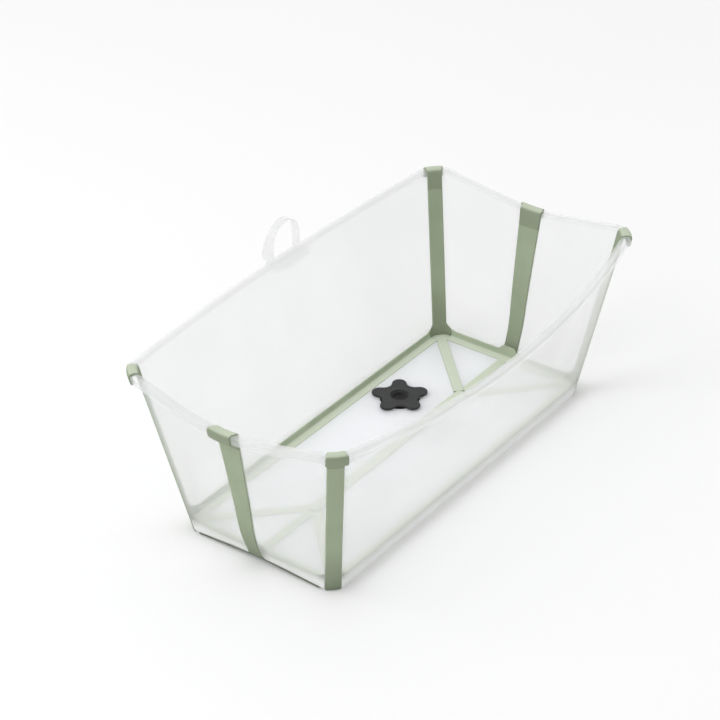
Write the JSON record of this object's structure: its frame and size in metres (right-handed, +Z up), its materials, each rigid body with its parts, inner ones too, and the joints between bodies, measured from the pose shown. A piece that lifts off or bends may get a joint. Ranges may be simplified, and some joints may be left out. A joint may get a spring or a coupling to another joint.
{
  "type": "folding baby bathtub",
  "caption": "Folding baby bathtub with stiff frosted panels, flexible sage-green fold strips, a rolled rim, a flower-shaped drain plug and a closing strap.",
  "frame": {"origin": "on the ground, below the middle of the overall box with the tub open", "axes": "+X along the tub, +Y towards the back long wall that carries the strap, +Z up"},
  "size_m": [0.6688, 0.406, 0.2654],
  "materials": {
    "frosted_wall": "frosted translucent polypropylene",
    "frosted_floor": "frosted translucent polypropylene",
    "sage_rubber": "matte thermoplastic rubber",
    "charcoal_rubber": "matte rubber",
    "clear_strap": "clear soft plastic"
  },
  "bodies": {
    "back_wall": {"back_wall_panel": "frosted_wall", "corner_strip_left_back": "sage_rubber", "corner_strip_right_back": "sage_rubber", "floor_side_strip_back": "sage_rubber", "strap_ledge": "clear_strap"},
    "floor_back": {"floor_panel_back": "frosted_floor", "floor_diagonal_strip_left_back": "sage_rubber", "floor_diagonal_strip_right_back": "sage_rubber", "floor_ridge_strip": "sage_rubber", "drain_seat": "charcoal_rubber"},
    "floor_front": {"floor_panel_front": "frosted_floor", "floor_diagonal_strip_left_front": "sage_rubber", "floor_diagonal_strip_right_front": "sage_rubber"},
    "front_wall": {"front_wall_panel": "frosted_wall", "corner_strip_left_front": "sage_rubber", "corner_strip_right_front": "sage_rubber", "floor_side_strip_front": "sage_rubber"},
    "end_left_back": {"end_panel_left_back": "frosted_wall", "end_mid_strip_left_back": "sage_rubber"},
    "floor_corner_left_back": {"floor_corner_panel_left_back": "frosted_floor", "floor_centre_strip_left_back": "sage_rubber", "floor_end_strip_left_back": "sage_rubber"},
    "end_left_front": {"end_panel_left_front": "frosted_wall", "end_mid_strip_left_front": "sage_rubber"},
    "floor_corner_left_front": {"floor_corner_panel_left_front": "frosted_floor", "floor_centre_strip_left_front": "sage_rubber", "floor_end_strip_left_front": "sage_rubber"},
    "end_right_back": {"end_panel_right_back": "frosted_wall", "end_mid_strip_right_back": "sage_rubber"},
    "floor_corner_right_back": {"floor_corner_panel_right_back": "frosted_floor", "floor_centre_strip_right_back": "sage_rubber", "floor_end_strip_right_back": "sage_rubber"},
    "end_right_front": {"end_panel_right_front": "frosted_wall", "end_mid_strip_right_front": "sage_rubber"},
    "floor_corner_right_front": {"floor_corner_panel_right_front": "frosted_floor", "floor_centre_strip_right_front": "sage_rubber", "floor_end_strip_right_front": "sage_rubber"},
    "drain_plug": {"drain_plug": "charcoal_rubber"},
    "strap": {"strap_loop": "clear_strap"}
  },
  "joints": [
    {"name": "fold", "type": "hinge", "parent": "back_wall", "child": "floor_back", "pos_m": [0, 0.10584, 0.0104], "axis": [-1, 0, 0], "range_deg": [0, 79.63], "stiffness_Nm_per_rad": 1.5, "springref_deg": -17.19, "deforming": ["floor_side_strip_back"]},
    {"name": "ridge_fold", "type": "hinge", "parent": "floor_back", "child": "floor_front", "pos_m": [0, -0.00616, 0.0037], "axis": [1, 0, 0], "range_deg": [0, 140.8], "deforming": ["floor_ridge_strip"]},
    {"name": "front_fold", "type": "hinge", "parent": "floor_front", "child": "front_wall", "pos_m": [0, -0.11816, 0.0104], "axis": [-1, 0, 0], "range_deg": [0, 79.83], "deforming": ["floor_side_strip_front"]},
    {"name": "end_fold_left_back", "type": "hinge", "parent": "back_wall", "child": "end_left_back", "pos_m": [-0.255, 0.09084, 0], "axis": [-0.2317, 0.2278, 0.9457], "range_deg": [0, 88.5], "deforming": ["corner_strip_left_back", "end_mid_strip_left_back"]},
    {"name": "corner_fold_left_back", "type": "hinge", "parent": "floor_back", "child": "floor_corner_left_back", "pos_m": [-0.158, -0.00616, 0.0096], "axis": [0.7071, -0.7071, 0], "range_deg": [0, 169.8], "deforming": ["floor_diagonal_strip_left_back", "floor_centre_strip_left_back", "floor_end_strip_left_back"]},
    {"name": "end_fold_left_front", "type": "hinge", "parent": "front_wall", "child": "end_left_front", "pos_m": [-0.255, -0.10316, 0], "axis": [0.2317, 0.2278, -0.9457], "range_deg": [0, 88.5], "deforming": ["corner_strip_left_front", "end_mid_strip_left_front"]},
    {"name": "corner_fold_left_front", "type": "hinge", "parent": "floor_front", "child": "floor_corner_left_front", "pos_m": [-0.158, -0.00616, 0.0096], "axis": [-0.7071, -0.7071, 0], "range_deg": [0, 169.8], "deforming": ["floor_diagonal_strip_left_front", "floor_centre_strip_left_front", "floor_end_strip_left_front"]},
    {"name": "end_fold_right_back", "type": "hinge", "parent": "back_wall", "child": "end_right_back", "pos_m": [0.255, 0.09084, 0], "axis": [-0.2317, -0.2278, -0.9457], "range_deg": [0, 88.5], "deforming": ["corner_strip_right_back", "end_mid_strip_right_back"]},
    {"name": "corner_fold_right_back", "type": "hinge", "parent": "floor_back", "child": "floor_corner_right_back", "pos_m": [0.158, -0.00616, 0.0096], "axis": [0.7071, 0.7071, 0], "range_deg": [0, 169.8], "deforming": ["floor_diagonal_strip_right_back", "floor_centre_strip_right_back", "floor_end_strip_right_back"]},
    {"name": "end_fold_right_front", "type": "hinge", "parent": "front_wall", "child": "end_right_front", "pos_m": [0.255, -0.10316, 0], "axis": [0.2317, -0.2278, 0.9457], "range_deg": [0, 88.5], "deforming": ["corner_strip_right_front", "end_mid_strip_right_front"]},
    {"name": "corner_fold_right_front", "type": "hinge", "parent": "floor_front", "child": "floor_corner_right_front", "pos_m": [0.158, -0.00616, 0.0096], "axis": [-0.7071, 0.7071, 0], "range_deg": [0, 169.8], "deforming": ["floor_diagonal_strip_right_front", "floor_centre_strip_right_front", "floor_end_strip_right_front"]},
    {"name": "plug_lift", "type": "slide", "parent": "floor_back", "child": "drain_plug", "axis": [0, 0, 1], "range_m": [0, 0.05]},
    {"name": "strap_swing", "type": "hinge", "parent": "back_wall", "child": "strap", "pos_m": [0.044, 0.20304, 0.21208], "axis": [-1, 0, 0], "range_deg": [0, 95]}
  ],
  "couplings": [
    {"joint": "ridge_fold", "follows": "fold", "ratio": 1.7657},
    {"joint": "front_fold", "follows": "fold", "ratio": 1},
    {"joint": "end_fold_left_back", "follows": "fold", "ratio": 1.1089},
    {"joint": "corner_fold_left_back", "follows": "fold", "ratio": 2.1298},
    {"joint": "end_fold_left_front", "follows": "fold", "ratio": 1.1089},
    {"joint": "corner_fold_left_front", "follows": "fold", "ratio": 2.1298},
    {"joint": "end_fold_right_back", "follows": "fold", "ratio": 1.1089},
    {"joint": "corner_fold_right_back", "follows": "fold", "ratio": 2.1298},
    {"joint": "end_fold_right_front", "follows": "fold", "ratio": 1.1089},
    {"joint": "corner_fold_right_front", "follows": "fold", "ratio": 2.1298}
  ]
}
